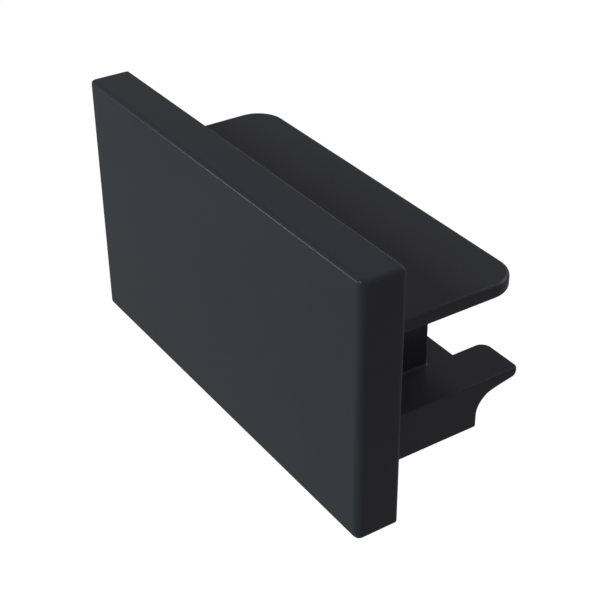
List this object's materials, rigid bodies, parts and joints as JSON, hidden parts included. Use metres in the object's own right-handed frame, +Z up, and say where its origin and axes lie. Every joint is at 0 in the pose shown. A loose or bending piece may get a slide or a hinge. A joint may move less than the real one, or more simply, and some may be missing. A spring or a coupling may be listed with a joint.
{
  "type": "track end cap",
  "caption": "Moulded end cap for a lighting track: a face plate with a thin tongue, a filler block and a foot with hooked prongs behind it.",
  "frame": {"origin": "on the back face of the face plate, on the centre line, level with the middle of the strip between the tongue and the top of the plate", "axes": "+X to the right of someone behind the plate's front face looking along +Y, across the width; +Y out of the back face, into the track; +Z up, from the foot to the tongue"},
  "size_m": [0.035, 0.0147, 0.0196],
  "materials": {
    "end_cap": "fine satin moulded black"
  },
  "bodies": {
    "root": {"end_cap": "end_cap"}
  },
  "joints": []
}
